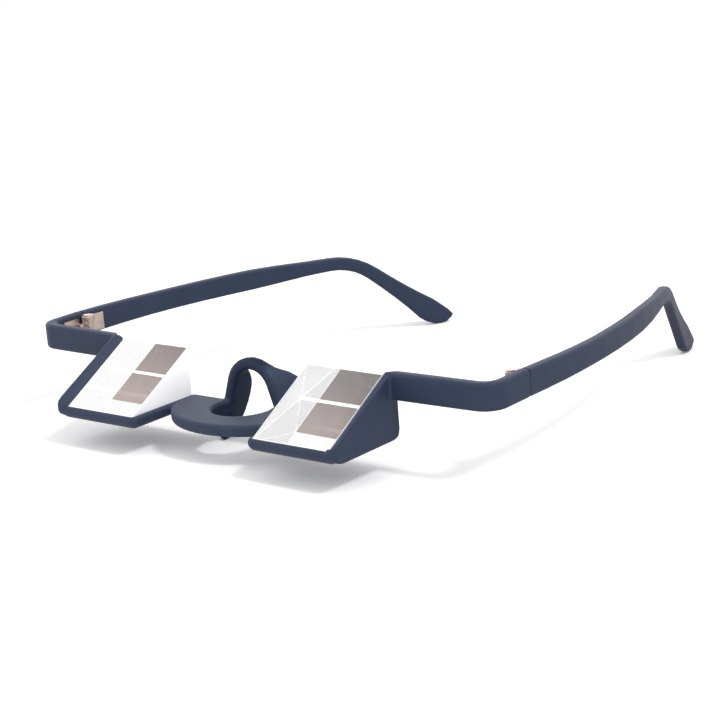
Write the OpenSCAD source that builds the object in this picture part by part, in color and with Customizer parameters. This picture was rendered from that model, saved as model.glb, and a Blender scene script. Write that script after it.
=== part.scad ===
/* [Prisms] */
// Distance between the middles of the two prisms
prism_spacing = 62.5; // [58:0.5:68]
// Width of each prism, from side to side
prism_w = 23; // [19:0.5:25]
// Length of each prism, from its toe to its back face
prism_l = 21.4; // [17:0.2:22]
// Slope of the face that the wearer looks into
prism_angle = 30; // [28:0.5:31]
// Height of the blunt toe at the front
prism_toe = 0.7; // [0.4:0.1:1.2]
// Bevel ground along the prism's edges
prism_bevel = 0.35; // [0.1:0.05:0.6]
// Thickness of the silver and its backing paint
coating_t = 0.2; // [0.1:0.05:0.3]
// Thickness of the adhesive film
bond_t = 0.2; // [0.1:0.05:0.3]
// Gap between the glass and the frame round it
glass_gap = 0.1; // [0.05:0.05:0.2]

/* [Trays] */
// Thickness of the tray's floor under the glass
floor_t = 1.85; // [1.5:0.05:2.2]
// Height of the lip and rail round the glass
lip_h = 3.05; // [2.9:0.05:3.6]
// Wall in front of the glass
lip_t = 1.1; // [0.8:0.1:1.6]
// Wall between the glass and the nose ring
rail_t = 1.45; // [1:0.05:1.8]
// Floor that runs on behind the glass
heel_l = 1.1; // [0.5:0.1:2]
// Thickness of the outer side plate
cheek_t = 2.8; // [2.4:0.1:3.4]
// Height of the outer side plate
cheek_h = 16.45; // [16:0.05:17.5]
// Side plate behind the tray's floor
cheek_back = 0.3; // [0.1:0.1:0.9]
// Height at which the side plate's back starts to slope forward
cheek_slope_z = 10.2; // [9:0.1:11]
// Slope of the side plate's front rim
rim_angle = 33.4; // [32:0.1:36]
// Rounding of the side plates' edges
edge_r = 1.2; // [0.8:0.1:1.4]
// Rounding of the trays' upper edges
tray_top_r = 1.05; // [0.5:0.05:1.1]
// Rounding of the trays' lower edges
tray_low_r = 1.8; // [1:0.1:1.8]

/* [Nose] */
// Front edge of the nose ring, measured forward from the origin
ring_front = 4; // [3:0.5:6]
// Half width of the ring's oval outline
ring_half_w = 19.6; // [19:0.1:21]
// Length of the ring's oval, from its front to its widest place
ring_len = 15.2; // [13:0.2:16]
// Half width of the opening for the nose
nose_half_w = 7.9; // [7:0.1:8.4]
// Half width of that opening at the ring's back
nose_back_w = 7; // [6.2:0.1:7.6]
// Front end of the opening for the nose
nose_front = 3.6; // [3:0.1:5]
// Radius of the saddle bridge, at the middle of its wall
saddle_r = 6.6; // [6:0.1:7.2]
// Height of the saddle's top
saddle_h = 14.25; // [13:0.05:16]
// Wall of the saddle and its wings
saddle_t = 2.9; // [2.2:0.1:3.4]
// Front-to-back depth of the saddle at its crown
crown_depth = 3.2; // [2.6:0.1:4.5]
// Front-to-back depth of the nose wings
wing_depth = 10.7; // [8.5:0.1:12]
// Angle at which the legs and wings spread downwards
wing_splay = 18.5; // [14:0.5:21]
// Sideways spread of the wings for each millimetre backwards
wing_flare = 0.25; // [0.15:0.01:0.35]
// Depth of the wings' tips below the ring
wing_drop = 8.45; // [6:0.05:10]
// Depth of the skirts under the ring, along both sides of the opening
skirt_h = 0.9; // [0.3:0.1:1.5]

/* [Arms] */
// Width over both arms
frame_w = 149.5; // [145:0.5:156]
// Thickness of the arm
arm_t = 2.8; // [2.5:0.1:3.2]
// Height of the arm beside the tray
arm_h = 6.75; // [6.5:0.05:7.2]
// Height of the arm at the hinge
arm_end_h = 6.8; // [6.7:0.05:7.2]
// Rise of the arm's middle from the tray to the hinge
arm_rise = 0.35; // [0:0.05:0.8]
// Outer radius of the arm's bend
arm_bend_r = 5.6; // [4.4:0.1:6.4]
// Radius of the fillet in the corner inside the arm's bend
arm_web_r = 4; // [2.5:0.1:4.2]
// Arm's front face, measured forward from the tray's back
arm_setback = 2.4; // [1.4:0.1:2.6]
// Length of the arm's straight side behind its bend
arm_side_l = 8.9; // [8.2:0.1:10]

/* [Temples] */
// Thickness of the temple
temple_t = 2.8; // [2.5:0.1:3.1]
// Height of the temple at the hinge
temple_root_h = 6.7; // [6.4:0.1:7.1]
// Height along the temple's middle
temple_mid_h = 6; // [5.2:0.1:6.4]
// Height at the neck, before the ear hook
temple_neck_h = 4; // [3.4:0.1:5]
// Height of the ear hook near its tip
hook_h = 7.4; // [6.5:0.1:9]
// Length from the hinge to the start of the ear hook's bend
temple_reach = 92; // [84:0.5:104]
// Slight fall of the temple towards the ear
temple_fall = 0.8; // [0:0.1:2]
// Angle between the temple and its ear hook
hook_angle = 37; // [25:1:45]
// Radius of the ear hook's bend
hook_r = 24.5; // [16:0.5:34]
// Length of the ear hook behind its bend
hook_l = 34.4; // [26:0.1:42]
// Straight stretch behind the hinge, seen from above
temple_straight = 7.1; // [4:0.1:14]
// Radius of the temple's inward curve, seen from above
temple_curve_r = 228; // [180:1:400]
// Radius of the ear hook's outward curve, seen from above
hook_curve_r = 300; // [200:1:600]
// Rounding of the edges of the arms and temples
bar_edge_r = 0.7; // [0.4:0.1:1]

/* [Hinges] */
// Gap between the arm's end and the temple's end
seam_gap = 0.15; // [0.1:0.05:0.3]
// Hinge pin in front of the middle of the seam
hinge_lead = 0.4; // [0:0.05:0.6]
// Middle of the hinge below the middle of the temple
hinge_drop = 0.45; // [0:0.05:0.6]
// Diameter of the hinge's knuckles
knuckle_d = 3; // [2.6:0.1:3.2]
// Height of the middle knuckle
mid_knuckle_h = 2; // [1.6:0.1:2.2]
// Height of the outer knuckles
end_knuckle_h = 1.8; // [1.4:0.1:2]
// Gap between one knuckle and the next
knuckle_gap = 0.1; // [0.05:0.01:0.15]
// Gap between the knuckles and the inner wall
knuckle_wall_gap = 0.45; // [0.3:0.05:0.8]
// Diameter of the screw's shank, which is the hinge pin
screw_d = 1.4; // [1.2:0.1:1.6]
// Radial running clearance of the middle knuckle on the pin
pin_gap = 0.04; // [0.03:0.01:0.08]
// Radial clearance of the pin in the two outer knuckles
screw_fit = 0.02; // [0.01:0.01:0.03]
// Diameter of the screw's head
screw_head_d = 2.2; // [2:0.1:2.6]
// Height of the screw's head
screw_head_h = 0.45; // [0.3:0.05:0.6]
// Thickness of each hinge leaf
leaf_t = 1; // [0.8:0.1:1.2]
// Height of each hinge leaf
leaf_h = 4.8; // [4.2:0.1:5]
// Length of the front leaf along the arm
front_leaf_l = 5.4; // [4.5:0.1:5.6]
// Length of the temple leaf along the temple
temple_leaf_l = 7; // [6:0.1:9]
// How far each leaf stands out of the wall that it is let into
leaf_proud = 0.3; // [0.1:0.05:0.4]
// Gap round each leaf in its recess
leaf_gap = 0.05; // [0.02:0.01:0.1]
// Diameter of the two anchor studs on each leaf
stud_d = 1.1; // [0.9:0.1:1.3]
// Length of the anchor studs
stud_h = 0.8; // [0.5:0.1:0.9]

/* [Hidden] */

navy = [0.24, 0.27, 0.34];
glass = [0.80, 0.86, 0.88, 0.5];
silver = [0.60, 0.56, 0.53];
clear_glue = [0.85, 0.84, 0.78];
nickel = [0.78, 0.73, 0.69];

// Room for a clean cut past a face
past = 1;

// Tray: its pocket for the glass, and the frame's outline round it
pocket_x0 = prism_spacing / 2 - prism_w / 2 - glass_gap;
pocket_x1 = prism_spacing / 2 + prism_w / 2 + glass_gap;
tray_y0 = -8.4;
pocket_y0 = tray_y0 + lip_t;
glass_y0 = pocket_y0 + glass_gap;
tray_y1 = glass_y0 + prism_l + heel_l;
rail_x = pocket_x0 - rail_t;
cheek_x = pocket_x1 + cheek_t;
glass_z0 = floor_t + bond_t + coating_t;

// Side plate: radii of its corners in the side view
cheek_toe_r = 2.6;
cheek_heel_r = 2;
cheek_y1 = tray_y1 + cheek_back;
// The rim's line passes this far above the front corner of the glass
rim_rise = 0;
// Radius of the side plate's edge beside the glass
rim_inner_r = 0.6;

// Nose ring and saddle
ring_y1 = tray_y1;
ring_edge_r = 0.9;
hole_edge_r = 0.6;
// Skirt: its wall, and its front end
skirt_t = 1.6;
skirt_y0 = 6.5;
saddle_y0 = ring_y1 - 0.5;
saddle_zc = saddle_h - saddle_t / 2 - saddle_r;
saddle_edge_r = 1;
// Height of the wings' widest place, and the reach of their outline above and below it
wing_z = 3.25;
wing_up = 8.2;

// Arms and the hinge's place
arm_y0 = tray_y1 - arm_setback;
bend_x = frame_w / 2 - arm_bend_r;
bend_y = arm_y0 + arm_bend_r;
seam_y = bend_y + arm_side_l;
arm_y1 = arm_y0 + arm_t;
arm_z0 = cheek_h - arm_h / 2;
temple_zc = arm_z0 + arm_rise;
hinge_zc = temple_zc - hinge_drop;
wall_x = frame_w / 2 - arm_t;
temple_wall_x = frame_w / 2 - temple_t;
hinge_x = min(wall_x, temple_wall_x) - knuckle_wall_gap - knuckle_d / 2;
hinge_y = seam_y + seam_gap / 2 - hinge_lead;
hinge_h = mid_knuckle_h + 2 * end_knuckle_h + 2 * knuckle_gap;
hinge_z0 = hinge_zc - hinge_h / 2;
mid_knuckle_z = hinge_z0 + end_knuckle_h + knuckle_gap;
top_knuckle_z = mid_knuckle_z + mid_knuckle_h + knuckle_gap;
leaf_z0 = hinge_zc - leaf_h / 2;
front_leaf_y1 = hinge_y - knuckle_d / 2 - 0.1;
stud_inset = 1.4;
web_t = 1.2;

// Temple: path of its outer wall seen from above, and its side view
temple_y0 = seam_y + seam_gap;
curve_end = temple_reach + 5.5;
curve_turn = (curve_end - temple_straight) / temple_curve_r * 180 / PI;
hook_bend_l = hook_r * hook_angle * PI / 180;
hook_q = temple_reach + hook_bend_l;
tip_l = 9.7;
tip_q = hook_q + hook_l - tip_l;
tip_corner_r = 1;
hook_fall = temple_fall + hook_angle;
half_steps = 3;

// Points of a rounded rectangle centred on the origin, w wide and h high
function rounded_rect(w, h, r) = [
    for (corner = [0:3], step = [0:half_steps])
        let (a = corner * 90 + step * 90 / half_steps,
             cx = (w / 2 - r) * (corner == 0 || corner == 3 ? 1 : -1),
             cy = (h / 2 - r) * (corner < 2 ? 1 : -1))
        [cx + r * cos(a), cy + r * sin(a)]
];

// Solid stretched over a list of sections that all have the same number of points
module skin(sections) {
    n = len(sections[0]);
    m = len(sections);
    sides = [for (i = [0:m - 2], j = [0:n - 1])
        let (a = i * n + j, b = i * n + (j + 1) % n)
        each [[a, a + n, b + n], [a, b + n, b]]];
    first = [for (j = [0:n - 1]) j];
    last = [for (j = [n - 1:-1:0]) (m - 1) * n + j];
    polyhedron(points = [for (s = sections) each s], faces = concat([first], sides, [last]), convexity = 8);
}

// Disc of height t whose upper rim is rounded by edge and lower rim by low
module pebble(r, edge, t, low = 0) {
    rotate_extrude($fn = 28) intersection() {
        union() {
            translate([0, low]) square([r, t - edge - low]);
            square([r - low, t]);
            square([r - edge, t]);
            translate([r - edge, t - edge]) circle(edge, $fn = 28);
            translate([r - low, low]) circle(low, $fn = 28);
        }
        square([r, t]);
    }
}

// Floor, lip and rail of the right tray, before the glass pocket is cut
module tray() {
    x1 = cheek_x - 0.6;
    corner_r = 2;
    hull() for (x = [rail_x + corner_r, x1 - corner_r], y = [tray_y0 + corner_r, tray_y1 - corner_r])
        translate([x, y, 0]) pebble(corner_r, tray_top_r, lip_h, tray_low_r);
}

// Outer side plate of the right tray, with its sloping rim
module cheek() {
    // The rim's line, and the circles that touch it
    rim_y = tray_y0 + 1.1;
    rim_z = lip_h + rim_rise;
    toe_y = tray_y0 + edge_r;
    toe_z = rim_z + ((toe_y - rim_y) * sin(rim_angle) - edge_r) / cos(rim_angle);
    top_z = cheek_h - edge_r;
    top_y = rim_y + ((top_z - rim_z) * cos(rim_angle) + edge_r) / sin(rim_angle);
    // y, z, radius in the side view, and radius of the outer and the inner edge
    corners = [
        [tray_y0 + cheek_toe_r, cheek_toe_r, cheek_toe_r, cheek_toe_r - 0.2, 0],
        [toe_y, toe_z, edge_r, edge_r, rim_inner_r],
        [top_y, top_z, edge_r, edge_r, rim_inner_r],
        [cheek_y1 - edge_r, cheek_slope_z, edge_r, edge_r, 0],
        [cheek_y1 - cheek_heel_r, cheek_heel_r, cheek_heel_r, cheek_heel_r - 0.2, 0],
    ];
    hull() for (c = corners)
        translate([pocket_x1, c[0], c[1]]) rotate([0, 90, 0]) pebble(c[2], c[3], cheek_t, c[4]);
}

// Right arm, from the side plate round its bend to the hinge seam
module arm() {
    x0 = cheek_x - 0.5;
    // The arm's end in the side plate is cut at a slant, so that it hides behind the plate
    slant = 0.85;
    mid_r = arm_bend_r - arm_t / 2;
    // The fillet inside the bend reaches this far into the arm
    bite = 0.4;
    bend_steps = 9;
    run = bend_x - x0;
    total = run + mid_r * PI / 2 + arm_side_l;
    // x, y, heading, length so far and slant at each station
    stations = concat(
        [for (x = [x0, bend_x]) [x, arm_y0 + arm_t / 2, 0, x - x0, x == x0 ? slant : 0]],
        [for (i = [1:bend_steps]) let (a = 90 * i / bend_steps)
            [bend_x + mid_r * sin(a), bend_y - mid_r * cos(a), a, run + mid_r * a * PI / 180, 0]],
        [[frame_w / 2 - arm_t / 2, seam_y, 90, total, 0]]);
    skin([for (s = stations)
        let (h = arm_h + (arm_end_h - arm_h) * s[3] / total, zc = arm_z0 + arm_rise * s[3] / total)
        [for (p = rounded_rect(arm_t, h, bar_edge_r))
            [s[0] - p[0] * (sin(s[2]) - s[4]), s[1] + p[0] * cos(s[2]), zc + p[1]]]]);
    // Fillet that thickens the corner inside the bend
    translate([wall_x - arm_web_r, arm_y1, arm_z0 + arm_rise / 2 - arm_h / 2 + bar_edge_r / 4])
        linear_extrude(arm_h - bar_edge_r / 2) difference() {
            translate([0, -bite]) square([arm_web_r + bite, arm_web_r + bite]);
            translate([0, arm_web_r]) circle(arm_web_r, $fn = 64);
        }
}

// Outline of the nose ring seen from above, drawn in by inset
function ring_outline(inset) = concat(
    [for (a = [180:7.5:360])
        [(ring_half_w - inset) * cos(a), ring_len - ring_front + (ring_len - inset) * sin(a)]],
    [[ring_half_w - inset, ring_y1 - inset], [-ring_half_w + inset, ring_y1 - inset]]);

// Outline of the opening for the nose, let out by grow, with sides that run back and in
function nose_outline(grow) = concat(
    [for (a = [180:15:360])
        [(nose_half_w + grow) * cos(a), nose_front + nose_half_w + (nose_half_w + grow) * sin(a)]],
    [[nose_back_w + grow, ring_y1 + past], [-nose_back_w - grow, ring_y1 + past]]);

// Flat ring under the nose, with rounded edges
module nose_ring() {
    arc = [0:22.5:90];
    difference() {
        skin(concat(
            [for (a = arc) let (inset = ring_edge_r * (1 - sin(a)), z = ring_edge_r * (1 - cos(a)))
                [for (p = ring_outline(inset)) [p[0], p[1], z]]],
            [for (a = arc) let (inset = ring_edge_r * (1 - cos(a)), z = ring_edge_r * (1 - sin(a)))
                [for (p = ring_outline(inset)) [p[0], p[1], lip_h - z]]]));
        skin(concat(
            [[for (p = nose_outline(hole_edge_r)) [p[0], p[1], -past]]],
            [for (a = arc) let (grow = hole_edge_r * (1 - sin(a)), z = hole_edge_r * (1 - cos(a)))
                [for (p = nose_outline(grow)) [p[0], p[1], z]]],
            [for (a = arc) let (grow = hole_edge_r * (1 - cos(a)), z = hole_edge_r * (1 - sin(a)))
                [for (p = nose_outline(grow)) [p[0], p[1], lip_h - z]]],
            [[for (p = nose_outline(hole_edge_r)) [p[0], p[1], lip_h + past]]]));
    }
}

// Skirts under the ring that run back along the opening into the nose wings
module skirts() {
    translate([0, 0, -skirt_h]) linear_extrude(skirt_h + hole_edge_r) intersection() {
        difference() {
            polygon(nose_outline(skirt_t));
            polygon(nose_outline(0));
        }
        translate([-ring_half_w, skirt_y0]) square([2 * ring_half_w, ring_y1 - ring_edge_r - skirt_y0]);
    }
}

// Depth of the saddle's wall, front to back, at height z
function wing_reach(z) = z > wing_z
    ? sqrt(max(0, 1 - pow((z - wing_z) / wing_up, 2)))
    : sqrt(max(0, 1 - pow((z - wing_z) / (wing_z + wing_drop), 2)));
function saddle_depth(z) = pow(pow(crown_depth, 4) + pow(wing_depth * wing_reach(z), 4), 0.25);

// Saddle bridge with its two nose wings: one wall that runs up the left leg, over and down the right
module saddle() {
    arc_a = 90 - wing_splay;
    knee = [saddle_r * sin(arc_a), saddle_zc + saddle_r * cos(arc_a)];
    leg_l = (knee[1] + wing_drop) / cos(wing_splay);
    leg_steps = 8;
    arc_steps = 10;
    tip_steps = 3;
    // x, z, lean of the wall and scale of the section, from the right wing's tip to its knee
    right_leg = [for (i = [0:leg_steps]) let (d = leg_l * (1 - i / leg_steps) - (i == 0 ? saddle_t / 2 : 0))
        [knee[0] + d * sin(wing_splay), knee[1] - d * cos(wing_splay), arc_a, 1]];
    tip = [for (i = [0:tip_steps - 1])
        let (a = 90 - 75 * (i + 0.2) / tip_steps, d = leg_l - saddle_t / 2 * (1 - sin(a)))
        [knee[0] + d * sin(wing_splay), knee[1] - d * cos(wing_splay), arc_a, cos(a)]];
    arch = [for (i = [1:arc_steps - 1]) let (a = arc_a * (1 - 2 * i / arc_steps))
        [saddle_r * sin(a), saddle_zc + saddle_r * cos(a), a, 1]];
    left_leg = [for (i = [leg_steps:-1:0]) let (s = right_leg[i]) [-s[0], s[1], -s[2], 1]];
    left_tip = [for (i = [tip_steps - 1:-1:0]) let (s = tip[i]) [-s[0], s[1], -s[2], s[3]]];
    skin([for (s = concat(tip, right_leg, arch, left_leg, left_tip))
        let (depth = saddle_depth(s[1]), k = s[3])
        [for (p = rounded_rect(saddle_t, depth, saddle_edge_r))
            let (y = depth / 2 + p[1] * k, n = p[0] * k)
            [s[0] + n * sin(s[2]) + wing_flare * y * sin(s[2]),
             saddle_y0 + y,
             s[1] + n * cos(s[2])]]]);
}

// Recess in the right arm's inner wall, and the holes for the leaf's studs
module front_leaf_recess() {
    translate([wall_x - leaf_proud - past, front_leaf_y1 - front_leaf_l - leaf_gap, leaf_z0 - leaf_gap])
        cube([leaf_t + past, front_leaf_l + 2 * leaf_gap, leaf_h + 2 * leaf_gap]);
    front_studs(leaf_gap);
}

// Recess in the right temple's inner wall, and the holes for the leaf's studs
module temple_leaf_recess() {
    translate([temple_wall_x - leaf_proud - past, temple_y0 - past, leaf_z0 - leaf_gap])
        cube([leaf_t + past, temple_leaf_l + leaf_gap + past, leaf_h + 2 * leaf_gap]);
    temple_studs(leaf_gap);
}

// A pair of studs along Y that point outwards from the leaf's back
module stud_pair(x, ys, gap) {
    for (y = ys) translate([x, y, hinge_zc]) rotate([0, 90, 0])
        cylinder(d = stud_d + 2 * gap, h = stud_h + gap, $fn = 32);
}

module front_studs(gap = 0) {
    stud_pair(wall_x - leaf_proud + leaf_t,
              [front_leaf_y1 - front_leaf_l + stud_inset, front_leaf_y1 - stud_inset], gap);
}

module temple_studs(gap = 0) {
    stud_pair(temple_wall_x - leaf_proud + leaf_t,
              [temple_y0 + stud_inset, temple_y0 + temple_leaf_l - stud_inset], gap);
}

module both_sides() {
    children();
    mirror([1, 0, 0]) children();
}

module front_frame() {
    color(navy) difference() {
        union() {
            both_sides() tray();
            both_sides() cheek();
            both_sides() arm();
            nose_ring();
            skirts();
            saddle();
        }
        both_sides() translate([pocket_x0, pocket_y0, floor_t])
            cube([pocket_x1 - pocket_x0, cheek_y1 + past - pocket_y0, cheek_h]);
        both_sides() front_leaf_recess();
    }
}

// Side view of the prism, toe to the front
module prism_profile(inset) {
    top = prism_toe + prism_l * tan(prism_angle);
    offset(delta = -inset) polygon([[0, 0], [prism_l, 0], [prism_l, top], [0, prism_toe]]);
}

module right_prism() {
    color(glass) translate([prism_spacing / 2, glass_y0, glass_z0]) rotate([90, 0, 90]) hull() {
        linear_extrude(prism_w, center = true) prism_profile(prism_bevel);
        linear_extrude(prism_w - 2 * prism_bevel, center = true) prism_profile(0);
    }
}

// Thin layer under the glass
module layer(z, t) {
    translate([pocket_x0 + glass_gap, glass_y0 + prism_bevel, z])
        cube([prism_w, prism_l - 2 * prism_bevel, t]);
}

module right_mirror_coating() {
    color(silver) layer(floor_t + bond_t, coating_t);
}

module right_prism_bond() {
    color(clear_glue) layer(floor_t, bond_t);
}

// Hinge barrel before its bore
module knuckle(z, h) {
    translate([hinge_x, hinge_y, z]) cylinder(d = knuckle_d, h = h, $fn = 48);
}

module pin_bore(z, h, gap) {
    translate([hinge_x, hinge_y, z - past]) cylinder(d = screw_d + 2 * gap, h = h + 2 * past, $fn = 48);
}

module right_front_hinge_leaf() {
    x0 = wall_x - leaf_proud;
    color(nickel) difference() {
        union() {
            translate([x0, front_leaf_y1 - front_leaf_l, leaf_z0]) cube([leaf_t, front_leaf_l, leaf_h]);
            front_studs();
            knuckle(mid_knuckle_z, mid_knuckle_h);
            translate([hinge_x, front_leaf_y1 - web_t, mid_knuckle_z])
                cube([wall_x - leaf_gap - hinge_x, hinge_y - front_leaf_y1 + web_t, mid_knuckle_h]);
        }
        pin_bore(mid_knuckle_z, mid_knuckle_h, pin_gap);
    }
}

module right_temple_hinge_leaf() {
    x0 = temple_wall_x - leaf_proud;
    color(nickel) difference() {
        union() {
            translate([x0, temple_y0, leaf_z0]) cube([leaf_t, temple_leaf_l, leaf_h]);
            temple_studs();
            for (z = [hinge_z0, top_knuckle_z]) {
                knuckle(z, end_knuckle_h);
                translate([hinge_x, temple_y0, z])
                    cube([temple_wall_x - leaf_gap - hinge_x, hinge_y + knuckle_d / 2 + web_t - temple_y0,
                          end_knuckle_h]);
            }
        }
        pin_bore(hinge_z0, hinge_h, screw_fit);
    }
}

module right_hinge_screw() {
    slot_w = 0.4;
    slot_d = 0.25;
    top = hinge_z0 + hinge_h;
    color(nickel) difference() {
        translate([hinge_x, hinge_y, 0]) union() {
            translate([0, 0, hinge_z0]) cylinder(d = screw_d, h = hinge_h + screw_head_h / 2, $fn = 48);
            translate([0, 0, top]) cylinder(d = screw_head_d, h = screw_head_h, $fn = 48);
        }
        translate([hinge_x - screw_head_d, hinge_y - slot_w / 2, top + screw_head_h - slot_d])
            cube([2 * screw_head_d, slot_w, past]);
    }
}

// Place of the temple's outer wall seen from above, after a length s: x, y and how far it has turned in
function plan(s) =
    s < temple_straight ? [frame_w / 2, temple_y0 + s, 0]
    : s < curve_end ?
        let (a = (s - temple_straight) / temple_curve_r * 180 / PI)
        [frame_w / 2 - temple_curve_r * (1 - cos(a)), temple_y0 + temple_straight + temple_curve_r * sin(a), a]
    :   let (a = curve_turn - (s - curve_end) / hook_curve_r * 180 / PI,
             from = plan(curve_end - 0.0001))
        [from[0] - hook_curve_r * (cos(a) - cos(curve_turn)),
         from[1] + hook_curve_r * (sin(curve_turn) - sin(a)), a];

// Middle of the temple in its side view, after a length q: distance back, height and how far it falls
function side(q) =
    q < temple_reach ? [q * cos(temple_fall), temple_zc - q * sin(temple_fall), temple_fall]
    : q < hook_q ?
        let (a = temple_fall + (q - temple_reach) / hook_r * 180 / PI, from = side(temple_reach - 0.0001))
        [from[0] + hook_r * (sin(a) - sin(temple_fall)),
         from[1] - hook_r * (cos(temple_fall) - cos(a)), a]
    :   let (from = side(hook_q - 0.0001), d = q - hook_q)
        [from[0] + d * cos(hook_fall), from[1] - d * sin(hook_fall), hook_fall];

function ease(t) = t * t * (3 - 2 * t);

// Height of the temple after a length q
function temple_height(q) =
    q < 35 ? temple_root_h + (temple_mid_h - temple_root_h) * ease(q / 35)
    : q < temple_reach - 30 ? temple_mid_h
    : q < temple_reach ? temple_mid_h + (temple_neck_h - temple_mid_h) * ease(1 - (temple_reach - q) / 30)
    : temple_neck_h + (hook_h - temple_neck_h) * pow((q - temple_reach) / (tip_q - temple_reach), 3.2);

// One section of the temple: its bottom and top edge are lo and hi from the middle, and it is t thick
function temple_section(q, lo, hi, t, r) =
    let (m = side(q), c = cos(m[2]), d = sin(m[2]))
    [for (p = rounded_rect(t, hi - lo, r))
        let (n = (lo + hi) / 2 + p[1], w = plan(m[0] + n * d), depth = temple_t / 2 + p[0])
        [w[0] - depth * cos(w[2]), w[1] - depth * sin(w[2]), m[1] + n * c]];

module right_temple() {
    body_q = concat([0, temple_straight], [for (i = [1:9]) temple_straight + (temple_reach - temple_straight) * i / 9],
                    [for (i = [1:5]) temple_reach + hook_bend_l * i / 5],
                    [for (i = [1:4]) hook_q + (tip_q - hook_q) * i / 4]);
    body = [for (q = body_q) let (h = temple_height(q))
        temple_section(q, -h / 2, h / 2, temple_t, bar_edge_r)];
    // The tip's lower edge sweeps up an ellipse to meet a small round corner at the top
    tip = [for (a = [16:16:80])
        let (q = tip_q + tip_l * sin(a), lo = hook_h / 2 - tip_corner_r - (hook_h - tip_corner_r) * cos(a))
        temple_section(q, lo, hook_h / 2 - (a > 60 ? tip_corner_r * 0.3 : 0), temple_t, bar_edge_r * (a > 60 ? 0.8 : 1))];
    end = [temple_section(tip_q + tip_l, hook_h / 2 - 2.2 * tip_corner_r, hook_h / 2 - tip_corner_r * 0.8,
                          temple_t * 0.6, 0.5)];
    color(navy) difference() {
        skin(concat(body, tip, end));
        temple_leaf_recess();
    }
}

module left_prism() { mirror([1, 0, 0]) right_prism(); }
module left_mirror_coating() { mirror([1, 0, 0]) right_mirror_coating(); }
module left_prism_bond() { mirror([1, 0, 0]) right_prism_bond(); }
module left_front_hinge_leaf() { mirror([1, 0, 0]) right_front_hinge_leaf(); }
module left_temple_hinge_leaf() { mirror([1, 0, 0]) right_temple_hinge_leaf(); }
module left_hinge_screw() { mirror([1, 0, 0]) right_hinge_screw(); }
module left_temple() { mirror([1, 0, 0]) right_temple(); }

front_frame();
left_prism();
right_prism();
left_mirror_coating();
right_mirror_coating();
left_prism_bond();
right_prism_bond();
left_front_hinge_leaf();
right_front_hinge_leaf();
left_temple_hinge_leaf();
right_temple_hinge_leaf();
left_hinge_screw();
right_hinge_screw();
left_temple();
right_temple();
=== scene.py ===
# %% [markdown]
# # Belay glasses
# A climber's partner wears these to watch the wall above without bending the neck back. Two wedges of glass
# turn the view upwards. They sit in trays on both sides of a nose ring, and the whole front is one matte
# plastic moulding with hinged temples. The frame that is loaded here holds every piece at its real size and
# place, so the lesson is about finish: soft edges, clear glass, metal and light.

# %% Load the frame
import math

import bpy
from mathutils import Matrix, Vector


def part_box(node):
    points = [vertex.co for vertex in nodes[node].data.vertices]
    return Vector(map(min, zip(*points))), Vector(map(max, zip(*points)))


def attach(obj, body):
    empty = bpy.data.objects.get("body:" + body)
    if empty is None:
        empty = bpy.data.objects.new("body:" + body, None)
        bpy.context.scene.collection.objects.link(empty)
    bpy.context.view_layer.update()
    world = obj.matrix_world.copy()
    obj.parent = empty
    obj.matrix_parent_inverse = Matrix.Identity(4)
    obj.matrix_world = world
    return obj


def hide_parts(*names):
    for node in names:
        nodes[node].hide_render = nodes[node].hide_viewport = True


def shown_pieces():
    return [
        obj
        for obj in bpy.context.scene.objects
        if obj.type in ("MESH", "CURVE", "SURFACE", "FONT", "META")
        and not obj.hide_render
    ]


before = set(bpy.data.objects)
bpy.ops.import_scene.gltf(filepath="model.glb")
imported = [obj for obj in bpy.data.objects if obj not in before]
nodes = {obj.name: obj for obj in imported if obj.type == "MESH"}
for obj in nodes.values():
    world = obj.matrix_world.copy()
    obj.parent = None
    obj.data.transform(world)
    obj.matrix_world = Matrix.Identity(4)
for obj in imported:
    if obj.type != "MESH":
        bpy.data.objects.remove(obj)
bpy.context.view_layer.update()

mm = 0.001
print("pieces in the frame:", len(nodes))

# %% [markdown]
# ## The camera
# A product photograph is taken with a long lens from a little above. The eye point, the direction and the
# lens were found by fitting points of the frame, such as the corners of the glass, to the same points in
# the photograph. The camera is turned a few degrees about its own axis, because the glasses stood a little
# askew. The lens came out in pixels of the picture, and the width of the film turns it into millimetres.

# %% Set the camera
azimuth, elevation, roll = (math.radians(a) for a in (39.528, 14.898, -4.375))
eye = Vector((298.68, -303.75, 127.80)) * mm
picture_side, lens_in_pixels, film_width = 720, 1828.2, 36

back = Vector((math.sin(azimuth) * math.cos(elevation),
               -math.cos(azimuth) * math.cos(elevation),
               math.sin(elevation)))
level = Vector((math.cos(azimuth), math.sin(azimuth), 0))
above = back.cross(level)
right = math.cos(roll) * level + math.sin(roll) * above
up = -math.sin(roll) * level + math.cos(roll) * above

camera = bpy.data.objects.new("camera", bpy.data.cameras.new("camera"))
bpy.context.scene.collection.objects.link(camera)
camera.matrix_world = Matrix.Translation(eye) @ Matrix((right, up, back)).transposed().to_4x4()
camera.data.sensor_width = film_width
camera.data.lens = film_width * lens_in_pixels / picture_side
camera.data.clip_start = 10 * mm
bpy.context.scene.camera = camera
print("lens in mm:", round(camera.data.lens, 1))

# %% [markdown]
# ## Writing a finish as arithmetic
# A Blender finish is a graph of nodes. Wiring it by hand in code is long, so three small classes help. A
# Signal is one output socket that understands plus, minus and times, so that a roughness can be written as
# a sum. Each plus, minus or times makes one Math node.

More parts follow.
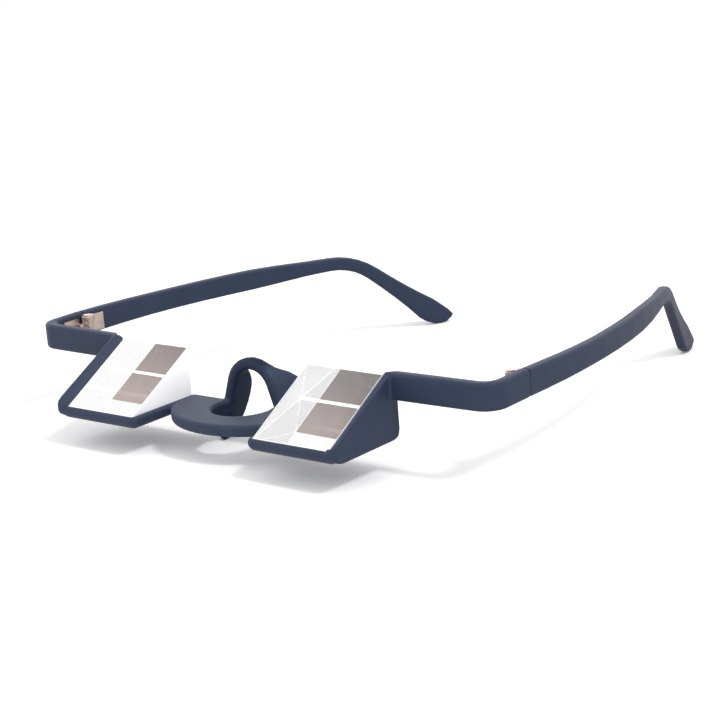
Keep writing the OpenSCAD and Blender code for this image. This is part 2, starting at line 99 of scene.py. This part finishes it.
# %% Signals
class Signal:
    def __init__(self, graph, socket):
        self.graph, self.socket = graph, socket

    def math(self, operation, *others):
        return self.graph.node("ShaderNodeMath", {"operation": operation}, self, *others)

    def __add__(self, other):
        return self.math("ADD", other)

    def __sub__(self, other):
        return self.math("SUBTRACT", other)

    def __rsub__(self, other):
        return self.graph.node("ShaderNodeMath", {"operation": "SUBTRACT"}, other, self)

    def __mul__(self, other):
        return self.math("MULTIPLY", other)

    __radd__, __rmul__ = __add__, __mul__

    def between(self, low, high):
        """0 below low, 1 above high and a straight slope between."""
        return self.graph.node("ShaderNodeMapRange", {"clamp": True}, self, low, high, 0.0, 1.0)


print("signals can be added and multiplied")

# %% [markdown]
# A Graph is a tree of nodes, of a material or of the world. Its node method makes any node from its kind,
# its settings and what its sockets are given. The others are the few patterns that come back in the
# finishes here: a blend of two colours, soft noise, a coordinate and the kind of ray that asks.

# %% Graphs
class Graph:
    def __init__(self, owner, coordinates):
        owner.use_nodes = True
        self.tree = owner.node_tree
        self.place = self.node("ShaderNodeTexCoord", out=coordinates)

    def node(self, kind, settings=(), *inputs, out=0, **named):
        made = self.tree.nodes.new(kind)
        for key, value in dict(settings).items():
            setattr(made, key, value)
        for position, value in enumerate(inputs):
            self.feed(made.inputs[position], value)
        self.fill(made, named)
        return Signal(self, made.outputs[out])

    def feed(self, socket, value):
        """Gives a socket a signal or a plain value."""
        if isinstance(value, Signal):
            self.tree.links.new(value.socket, socket)
        else:
            socket.default_value = value

    def fill(self, made, named):
        """Feeds the sockets of a node by name, with _ for each space."""
        for name, value in named.items():
            self.feed(made.inputs[name.replace("_", " ")], value)

    def blend(self, factor, a, b):
        """A colour that goes from a to b as factor goes from 0 to 1."""
        made = self.node("ShaderNodeMix", {"data_type": "RGBA"}, factor, out=2)
        colour_a, colour_b = made.socket.node.inputs[6:8]
        self.feed(colour_a, a)
        self.feed(colour_b, b)
        return made

    def cloud(self, size, detail, stretch=(1, 1, 1)):
        """Soft noise whose blots are about size metres across."""
        where = self.node("ShaderNodeMapping", (), self.place, Scale=tuple(s / size for s in stretch))
        return self.node("ShaderNodeTexNoise", (), where, Scale=1.0, Detail=detail, Roughness=0.55)

    def axis(self, letter):
        return self.node("ShaderNodeSeparateXYZ", (), self.place, out=letter)

    def ray(self, *kinds):
        """1 for a ray of any of these kinds, and 0 for the rest."""
        rays = [self.node("ShaderNodeLightPath", out=f"Is {kind} Ray") for kind in kinds]
        asked = rays[0]
        for other in rays[1:]:
            asked = asked.math("MAXIMUM", other)
        return asked


print("graphs can be made")

# %% [markdown]
# A Finish is the graph of one material. Its noise is placed by object coordinates in metres, so a piece
# carries its pattern along when it moves. Most colours are given as they look on a screen, because they
# were judged against the photograph, and shaders want them as linear values.

# %% Finishes and colours
class Finish(Graph):
    def __init__(self, name):
        self.material = bpy.data.materials.new(name)
        super().__init__(self.material, "Object")
        self.shader = self.tree.nodes["Principled BSDF"]

    def set(self, **sockets):
        self.fill(self.shader, sockets)

    def bump(self, height, strength, distance):
        self.set(Normal=self.node("ShaderNodeBump", (), Strength=strength, Distance=distance, Height=height))


def rgb(*screen):
    """A colour given as 0 to 255 on a screen, in the linear values that shaders take."""
    shares = [value / 255 for value in screen]
    return (*(s / 12.92 if s <= 0.04045 else ((s + 0.055) / 1.055) ** 2.4 for s in shares), 1.0)


def grey(value):
    """A linear grey, over 1 where it is the strength of a light."""
    return (value, value, value, 1)


print("finishes can be written")

# %% [markdown]
# ## Soft-touch navy
# The moulding is sprayed with a rubbery matte lacquer. Seen square on it is a deep blue-grey, and where
# light grazes the upper faces it turns to a pale mauve-grey. That veil is what sheen is for. A very
# fine grain breaks up the highlights, broad faint clouds stop the large faces from looking drawn, and a few
# specks of dust are a little paler.

# %% Mix the navy finish
navy = Finish("soft_touch_navy")
mottle = navy.cloud(11 * mm, 3.0)
grain = navy.cloud(0.16 * mm, 2.0)
dust = navy.node("ShaderNodeTexVoronoi", {"feature": "F1"}, navy.place, Scale=420.0)
speck = 1 - dust.between(0.035, 0.06)
body_colour = navy.blend(mottle.between(0.3, 0.7), rgb(31, 44, 68), rgb(36, 49, 73))
navy.set(Base_Color=navy.blend(speck * 0.08, body_colour, rgb(120, 120, 132)),
         Roughness=0.50 + 0.10 * mottle + 0.05 * grain, Specular_IOR_Level=0.38,
         Sheen_Weight=0.18, Sheen_Roughness=0.35, Sheen_Tint=rgb(225, 215, 220))
navy.bump(grain, strength=0.10, distance=0.06 * mm)
print("navy nodes:", len(navy.tree.nodes))

# %% [markdown]
# ## Painted shade in the nose
# The inner side of the saddle and the wall of the nose hole are painted nearly black, as shade. Sheen is one
# number for a whole shader, so a second, darker shader without sheen is mixed in by a mask. The mask is
# arithmetic on the place of a point. For the saddle it is the distance from the middle of the nose, and the
# shaded space widens downwards and backwards as the wings do. For the hole it is the distance from the
# hole's axis. Both fade over about a millimetre.

# %% Paint shade on the saddle and the nose hole
across, along, height = (navy.axis(letter) for letter in "XYZ")

wing_flare, wing_splay = 0.25, 0.335  # sideways spread for each metre backwards and for each metre down
saddle_front, saddle_centre = 13.5 * mm, 6.2 * mm
from_nose = (across.math("ABSOLUTE")
             - wing_flare * (along - saddle_front)
             + wing_splay * (height - saddle_centre))
behind_front = along.between(14.4 * mm, 15.4 * mm)
behind_wings = along.between(30 * mm, 32 * mm)
# where shade is painted on the inner side of the saddle
saddle_shade = (1 - from_nose.between(5.8 * mm, 7.2 * mm)) * (behind_front * (1 - behind_wings))

hole_centre = 11.5 * mm
ahead = along - hole_centre
from_axis = (across * across + ahead * ahead).math("SQRT")
# where shade is painted on the wall of the nose hole
hole_shade = (1 - from_axis.between(8.1 * mm, 8.7 * mm)) * (1 - height.between(1.8 * mm, 2.6 * mm))

# painted shade: a darker shader with little shine and no sheen
painted_shade_bsdf = navy.node("ShaderNodeBsdfPrincipled", (),
                 Base_Color=navy.blend(mottle, rgb(27, 36, 56), rgb(31, 41, 62)),
                 Roughness=0.70 + 0.10 * grain, Specular_IOR_Level=0.12)
veiled = Signal(navy, navy.shader.outputs[0])
mixed = navy.node("ShaderNodeMixShader", (), saddle_shade.math("MAXIMUM", hole_shade), veiled, painted_shade_bsdf)
navy.feed(navy.tree.nodes["Material Output"].inputs["Surface"], mixed)
print("navy nodes with the rubbed shader:", len(navy.tree.nodes))

# %% [markdown]
# ## Optical glass
# The wedges are clear glass, polished on the sloping, back and bottom faces and on the outer ends. What is
# seen in those faces comes from outside, bent or mirrored, so the shape of the wedge and the white room
# matter far more than a colour. The base is silvered. The inner ends and the bevels are only ground: they
# scatter light and read as pale grey or white. Ground glass lit through its whole body is slow and noisy
# to render, so the light that comes through is given as a soft glow. It grows with height at the inner ends,
# and a face looked at from inside the glass has a glow of its own.

# %% Mix the clear, ground and silvered glass
clear = Finish("optical_glass")
smear = clear.cloud(6 * mm, 2.0)
clear.set(Base_Color=clear.blend(smear, (0.985, 0.992, 0.992, 1), (0.992, 0.996, 0.996, 1)),
          Roughness=0.0, IOR=1.57, Transmission_Weight=1.0)
glass_foot, glass_top = 2 * mm, 15 * mm


def frosted(name, low_glow, high_glow, inner_glow):
    """Ground glass whose glow rises from its foot to its top, with another one seen from inside."""
    finish = Finish(name)
    frost = finish.cloud(0.4 * mm, 2.0)
    rise = finish.axis("Z").between(glass_foot, glass_top)
    inside = finish.node("ShaderNodeNewGeometry", out="Backfacing")
    glow = finish.blend(inside, finish.blend(rise, low_glow, high_glow), inner_glow)
    finish.set(Base_Color=finish.blend(frost, (0.78, 0.78, 0.79, 1), (0.84, 0.84, 0.85, 1)),
               Roughness=0.6 + 0.2 * frost, Emission_Color=glow, Emission_Strength=1.0)
    return finish


ground = frosted("ground_end", (0.08, 0.08, 0.09, 1), grey(0.44), grey(0.40))
chamfer = frosted("ground_chamfer", grey(0.40), grey(0.40), grey(0.65))

silver = Finish("silvered_base")
tarnish = silver.cloud(4 * mm, 3.0)
silver.set(Base_Color=silver.blend(tarnish, (0.93, 0.93, 0.92, 1), (0.96, 0.96, 0.95, 1)),
           Metallic=1.0, Roughness=0.02 * tarnish)
print("clear, ground and silvered glass are mixed")

# %% [markdown]
# ## What holds the glass
# Under the silver comes a coat of paint that protects it, brushed on in one direction, and a film of clear
# adhesive joins it to the tray. Both hide under the glass and show only as thin lines at its foot.

# %% Mix the paint and the adhesive
paint = Finish("backing_paint")
brushing = paint.cloud(1.5 * mm, 3.0, stretch=(1, 0.15, 1))
paint.set(Base_Color=paint.blend(brushing, rgb(142, 132, 126), rgb(166, 154, 148)),
          Roughness=0.35 + 0.2 * brushing, Metallic=0.4)

glue = Finish("clear_adhesive")
ripple = glue.cloud(2 * mm, 2.0)
glue.set(Base_Color=glue.blend(ripple, rgb(206, 202, 190), rgb(222, 218, 206)),
         Roughness=0.2 + 0.15 * ripple)
print("paint and adhesive are mixed")

# %% [markdown]
# ## Nickel silver
# The hinge is stamped from nickel silver, warm and pale. The rolled strip that it comes from has a fine
# lengthwise grain, and the metal is a little duller in patches where fingers and lacquer have been. The
# screws are brighter, with faint streaks along their length.

# %% Mix the hinge metals
nickel = Finish("nickel_silver")
drawn = nickel.cloud(1.2 * mm, 3.0, stretch=(1, 0.1, 1))
dull = nickel.cloud(2.5 * mm, 2.0)
nickel.set(Base_Color=nickel.blend(dull.between(0.35, 0.7), rgb(226, 206, 194), rgb(202, 182, 171)),
           Metallic=1.0, Roughness=0.28 + 0.14 * dull + 0.06 * drawn)
nickel.bump(drawn, strength=0.15, distance=0.04 * mm)

bright = Finish("bright_nickel")
streaks = bright.cloud(0.6 * mm, 3.0, stretch=(1, 1, 0.2))
bright.set(Base_Color=bright.blend(streaks, rgb(238, 230, 222), rgb(222, 212, 204)),
           Metallic=1.0, Roughness=0.16 + 0.12 * streaks)
bright.bump(streaks, strength=0.1, distance=0.03 * mm)
print("metals are mixed")

# %% [markdown]
# ## Tools for shaping
# An operator in Blender works on whatever is selected, so each step first clears the selection and then
# picks exactly what it needs. These helpers do that, apply modifiers, and copy a solid of the frame. An
# imported solid is a heap of loose triangles, and merging its doubled points makes it one surface.

# %% Shaping helpers
def pick(obj):
    """Selects one object and nothing else."""
    if bpy.context.object and bpy.context.object.mode != "OBJECT":
        bpy.ops.object.mode_set(mode="OBJECT")
    bpy.ops.object.select_all(action="DESELECT")
    obj.hide_viewport = False
    obj.select_set(True)
    bpy.context.view_layer.objects.active = obj


def finish_with(obj, kind, **settings):
    """Adds a modifier and applies it."""
    pick(obj)
    modifier = obj.modifiers.new(kind.lower(), kind)
    for key, value in settings.items():
        setattr(modifier, key, value)
    bpy.ops.object.modifier_apply(modifier=modifier.name)


def copy_of(node, name):
    """A copy of a solid of the frame, with its loose triangles merged."""
    obj = nodes[node].copy()
    obj.data = nodes[node].data.copy()
    obj.name, obj.parent = name, None
    for key in list(obj.keys()):
        del obj[key]
    bpy.context.scene.collection.objects.link(obj)
    pick(obj)
    bpy.ops.object.mode_set(mode="EDIT")
    bpy.ops.mesh.select_all(action="SELECT")
    bpy.ops.mesh.remove_doubles(threshold=0.002 * mm)
    bpy.ops.object.mode_set(mode="OBJECT")
    return obj


print("pieces can be picked, modified and copied")

# %% [markdown]
# A finished piece is handed to the frame: the body that it moves with and the solid that it stands for. A
# solid whose shape is good enough stays, and only its finish changes.

# %% Helpers that hand a piece over
def dress(obj, *finishes):
    """Gives a new piece its finishes, one for each slot."""
    obj.data.materials.clear()
    for finish in finishes:
        obj.data.materials.append(finish.material)


def coat(node, finish):
    """Gives a solid of the frame a better finish and leaves its shape alone."""
    for slot in nodes[node].material_slots:
        slot.material = finish.material


def seat(obj, body, node):
    """The piece rides on a body and stands for a node."""
    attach(obj, body)
    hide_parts(node)
    print(obj.name, "on", body, "with", len(obj.data.polygons), "faces")


sides = {"left": -1, "right": 1}
print("sides along x:", sides)

# %% [markdown]
# ## Room for the light beside the glass
# Light from the panes leaves a wedge close to the plastic beside it, and where it met the plastic, a navy
# stripe showed in the glass that the photograph doesn't have. So two facets are cut on each side plate: one
# slopes up and out along the top of the plate, and one takes off its inner back corner. A box placed
# across the rim and subtracted with a Boolean makes each of them, and is then removed.

# %% Helpers that cut the facets
glass_gap, toe_height = 0.1 * mm, 0.7 * mm
facet_tilt = math.radians(38)
facet_size = (4 * mm, 26 * mm, 3 * mm)  # up the facet, along the glass and off the facet
before_toe, over_slope, past_rim = 0.15 * mm, 0.12 * mm, 0.05 * mm
corner_size = (5.2 * mm, 4 * mm, 17 * mm)  # along the cut, off it and upwards
corner_foot, past_wall = 3 * mm, 0.2 * mm


def cut(obj, corner, axes, size):
    """Takes a box away, given by one corner and by the directions and lengths of its edges from there."""
    middle = corner + sum((axis * length / 2 for axis, length in zip(axes, size)), Vector())
    bpy.ops.object.select_all(action="DESELECT")
    bpy.ops.mesh.primitive_cube_add(size=1)
    knife = bpy.context.object
    knife.matrix_world = Matrix.Translation(middle) @ Matrix(axes).transposed().to_4x4()
    knife.matrix_world @= Matrix.Diagonal((*size, 1))
    bpy.context.view_layer.update()
    finish_with(obj, "BOOLEAN", operation="DIFFERENCE", object=knife, solver="EXACT")
    bpy.data.objects.remove(knife)


def shave(obj, side):
    """Cuts the sloping facet and the back corner of one side plate."""
    low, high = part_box(f"{side}_prism")
    out, rear, upwards = Vector((sides[side], 0, 0)), Vector((0, 1, 0)), Vector((0, 0, 1))
    wall = (high.x if side == "right" else low.x) + glass_gap * sides[side]
    toe, top = Vector((wall, low.y, low.z + toe_height)), Vector((wall, high.y, high.z))
    along = (top - toe).normalized()
    normal = (upwards - along * along.z).normalized()
    rise = math.cos(facet_tilt) * out + math.sin(facet_tilt) * normal
    facing = math.cos(facet_tilt) * normal - math.sin(facet_tilt) * out
    start = toe - before_toe * along + over_slope * normal - past_rim * rise
    cut(obj, start, (rise, along, facing), facet_size)
    away, behind = 0.8 * out + 0.6 * rear, 0.8 * rear - 0.6 * out  # turned back by about 37 degrees
    start = Vector((wall, high.y, corner_foot)) - past_wall * away
    cut(obj, start, (away, behind, upwards), corner_size)


print("facet tilt in degrees:", round(math.degrees(facet_tilt)))

# %% [markdown]
# ## The moulded front
# On the real glasses the trays, side plates, ring, saddle and arms come out of one mould, so nothing meets in
# a sharp inner corner: each junction flows into the next with a small fillet. Modelling every fillet by
# hand is slow. Instead a copy of the exact solid gets its facets, is rebuilt as a fine even skin and relaxed
# a little, which rounds every corner and leaves the broad faces where they were.

# %% Relax the front into a moulding
def mould(obj, cell, passes):
    """Rebuilds a piece as a skin of small cells and relaxes it."""
    finish_with(obj, "REMESH", mode="VOXEL", voxel_size=cell, adaptivity=0.0)
    finish_with(obj, "SMOOTH", factor=0.5, iterations=passes)
    dress(obj, navy)
    pick(obj)
    bpy.ops.object.shade_smooth()


front = copy_of("front_frame", "front_moulding")
for side in sides:
    shave(front, side)
mould(front, cell=0.30 * mm, passes=4)
seat(front, "front", "front_frame")

# %% [markdown]
# ## The temples
# Each temple is a flat bar that narrows to a neck and turns down into a paddle behind the ear. It gets the
# same soft skin, with a finer cell and more passes because its edges are rounder than those of the front.

# %% Relax the temples
for side in sides:
    temple = copy_of(f"{side}_temple", f"{side}_temple_moulding")
    mould(temple, cell=0.25 * mm, passes=6)
    seat(temple, f"temple_{side}", f"{side}_temple")

# %% [markdown]
# ## The glass wedges
# A wedge starts as a cube of the right size. Its top front edge comes down to leave a blunt toe, all its
# edges get a narrow ground bevel and the lower back edge a wide one, which shows as the white line between
# the two grey panes. The inner end stays ground. The underside is silvered as part of the glass itself,
# because a mirror that lay loose under it would show a second, weaker reflection, and the glass is lifted a
# hair off its coating so that two faces never lie in one plane.

# %% Cut the wedges
lift, near = 0.015 * mm, 0.1 * mm
heel_bevel, fine_bevel = 0.6 * mm, 0.10 * mm
sharp = math.radians(50)
square_on = 0.99  # a face whose normal has this share along an axis faces along it
slanted = 0.5  # one whose normal has this share along two axes faces between them
glass_finishes = (clear, chamfer, ground, silver)


def choose(obj, kind, test):
    """Goes to edit mode with only those vertices or edges selected whose points pass a test."""
    pick(obj)
    bpy.ops.object.mode_set(mode="EDIT")
    bpy.ops.mesh.select_all(action="DESELECT")
    bpy.ops.object.mode_set(mode="OBJECT")
    for v in obj.data.vertices:
        v.select = test(v.co)
    bpy.ops.object.mode_set(mode="EDIT")
    bpy.ops.mesh.select_mode(type=kind)


def wedge(side, name):
    low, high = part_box(f"{side}_prism")
    low.z += lift
    bpy.ops.mesh.primitive_cube_add(size=1, location=(low + high) / 2)
    obj = bpy.context.object
    obj.name, obj.scale = name, high - low
    bpy.ops.object.transform_apply(location=True, rotation=False, scale=True)
    choose(obj, "VERT", lambda p: p.y < low.y + near and p.z > high.z - near)
    bpy.ops.transform.translate(value=(0, 0, low.z + toe_height - high.z))
    choose(obj, "EDGE", lambda p: p.y > high.y - near and p.z < low.z + near)
    bpy.ops.mesh.bevel(offset=heel_bevel, segments=1)
    bpy.ops.object.mode_set(mode="OBJECT")
    dress(obj, *glass_finishes)
    finish_with(obj, "BEVEL", width=fine_bevel, segments=1, limit_method="ANGLE", angle_limit=sharp,
                material=glass_finishes.index(chamfer))
    for face in obj.data.polygons:
        if face.normal.y > slanted and face.normal.z < -slanted:
            face.material_index = glass_finishes.index(chamfer)
        if face.normal.x * sides[side] < -square_on:
            face.material_index = glass_finishes.index(ground)
        if face.normal.z < -square_on:
            face.material_index = glass_finishes.index(silver)
    return obj


for side in sides:
    bpy.ops.object.select_all(action="DESELECT")
    glass = wedge(side, f"{side}_glass_wedge")
    seat(glass, "front", f"{side}_prism")
    coat(f"{side}_mirror_coating", paint)
    coat(f"{side}_prism_bond", glue)

# %% [markdown]
# ## The hinges
# Stamped and turned metal never has a knife edge: every rim is broken by about a tenth of a millimetre, and
# that thin bevel is what catches the light. A copy of each leaf and screw gets it from a Bevel modifier that
# works only where two faces meet at a clear angle.

# %% Break the edges of the leaves and screws
leaf_edge, screw_edge = 0.10 * mm, 0.08 * mm


def break_edges(node, name, width, finish):
    obj = copy_of(node, name)
    finish_with(obj, "BEVEL", width=width, segments=2, limit_method="ANGLE", angle_limit=sharp,
                use_clamp_overlap=True)
    dress(obj, finish)
    pick(obj)
    bpy.ops.object.shade_smooth_by_angle(angle=math.radians(35))
    return obj


for side in sides:
    for part, body in (("front", "front"), ("temple", f"temple_{side}")):
        leaf = break_edges(f"{side}_{part}_hinge_leaf", f"{side}_{part}_leaf", leaf_edge, nickel)
        seat(leaf, body, f"{side}_{part}_hinge_leaf")
    screw = break_edges(f"{side}_hinge_screw", f"{side}_slotted_screw", screw_edge, bright)
    seat(screw, f"temple_{side}", f"{side}_hinge_screw")

# %% [markdown]
# ## The floor
# The glasses stand on the tips of the nose wings and on the two ear hooks. The floor is laid through those
# points, so it slopes a little towards the hooks, and it starts a hair below the lowest point of all.

# %% Lay the floor
wings_end, hooks_start = 40 * mm, 120 * mm
points = [v.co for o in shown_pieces() for v in o.data.vertices]
wing = min((p for p in points if p.y < wings_end), key=lambda p: p.z)
hook = min((p for p in points if p.y > hooks_start), key=lambda p: p.z)
slope = (hook.z - wing.z) / (hook.y - wing.y)
sunk = min(p.z - wing.z - slope * (p.y - wing.y) for p in points)
clearance = 0.02 * mm

bpy.ops.object.select_all(action="DESELECT")
bpy.ops.mesh.primitive_plane_add(size=6)
floor = bpy.context.object
floor.name = "paper"
for v in floor.data.vertices:
    v.co.z = wing.z + sunk + slope * (v.co.y - wing.y) - clearance
print("slope in degrees:", round(math.degrees(math.atan(slope)), 2), "lowest in mm:", round(sunk / mm, 2))

# %% [markdown]
# ## Paper
# The floor is white paper. The camera, and the eye looking through the glass, see it a little whiter than
# real paper and with a faint light of its own, so that it ends in pure white and still takes shadows. In
# the shine of metal and plastic it is plain paper, and darker behind the glasses, where the hinges mirror
# it: they would turn white otherwise.

# %% Mix the paper
white = Finish("paper_floor")
fibre = white.cloud(50 * mm, 2.0)
seen = white.ray("Camera", "Transmission")
plain = white.blend(fibre, (0.84, 0.84, 0.85, 1), (0.87, 0.87, 0.88, 1))
rear_half = white.axis("Y").between(0, 100 * mm)
mirrored = white.blend(white.ray("Glossy") * rear_half, plain, grey(0.50))
white.set(Base_Color=white.blend(seen, mirrored, (1.05, 1.05, 1.06, 1)),
          Roughness=0.9 + 0.05 * fibre, Specular_IOR_Level=0.1,
          Emission_Color=white.blend(seen, grey(0), grey(0.10)), Emission_Strength=1.0)
dress(floor, white)
print("paper nodes:", len(white.tree.nodes))

# %% [markdown]
# ## The tent
# The light in the photograph is that of a white tent. The world is the tent, and it answers each kind of ray
# on its own. The camera sees plain white. Matte faces are lit more from the front than from behind, and
# shiny ones mirror a wall that is brightest at the back left. The glass sees white too, except for one
# grey-brown patch at the front left: the open side of the tent, where the room shows. The wedges fold that
# patch back towards the camera, and it fills two small panes in each.

# %% Build the tent
scene = bpy.context.scene
scene.view_settings.view_transform = "Standard"
scene.world = bpy.data.worlds.new("tent")
tent = Graph(scene.world, "Generated")


def towards(*direction):
    """How nearly a ray runs in this direction, 1 when exactly."""
    aim = tuple(Vector(direction).normalized())
    return tent.node("ShaderNodeVectorMath", {"operation": "DOT_PRODUCT"}, tent.place, aim, out="Value")


opening = towards(-0.66, -0.70, 0.266).between(0.93, 0.955)
drapes = tent.cloud(0.05, 3.0, stretch=(1, 1, 0.15))
shade = towards(-0.45, 0, 0.9).between(0.518, 0.553) * 0.8 + drapes * 0.2
room = tent.blend(shade, rgb(112, 106, 106), rgb(192, 172, 166))
through_glass = tent.blend(opening, grey(1.08), room)
on_matte = tent.blend(towards(0.35, -0.95, 0.25).between(-0.5, 1), (0.50, 0.50, 0.51, 1), grey(1.40))
in_shine = tent.blend(towards(-0.8, 0.4, 0.4).between(-0.5, 1), grey(0.85), (1.5, 1.48, 1.5, 1))

light = tent.blend(tent.ray("Glossy"), on_matte, in_shine)
light = tent.blend(tent.ray("Transmission"), light, through_glass)
light = tent.blend(tent.ray("Camera"), light, grey(1))
tent.feed(tent.tree.nodes["Background"].inputs["Color"], light)
print("tent nodes:", len(tent.tree.nodes))

# %% [markdown]
# ## The lamp
# One broad lamp stands high on the right. It draws the soft shadows to the left of the glasses, and the
# upper faces get much of their light from it. A Sun lamp does that with two numbers: how wide it looks,
# which sets how soft the shadows are, and how strong it is.

# %% Set the lamp
lamp_side = Vector((0.765, -0.054, 1))  # the direction from the glasses to the lamp
sun = bpy.data.objects.new("broad_lamp", bpy.data.lights.new("broad_lamp", "SUN"))
scene.collection.objects.link(sun)
sun.rotation_mode = "QUATERNION"
sun.rotation_quaternion = lamp_side.to_track_quat("Z", "Y")
sun.data.angle, sun.data.energy = math.radians(9), 1.1
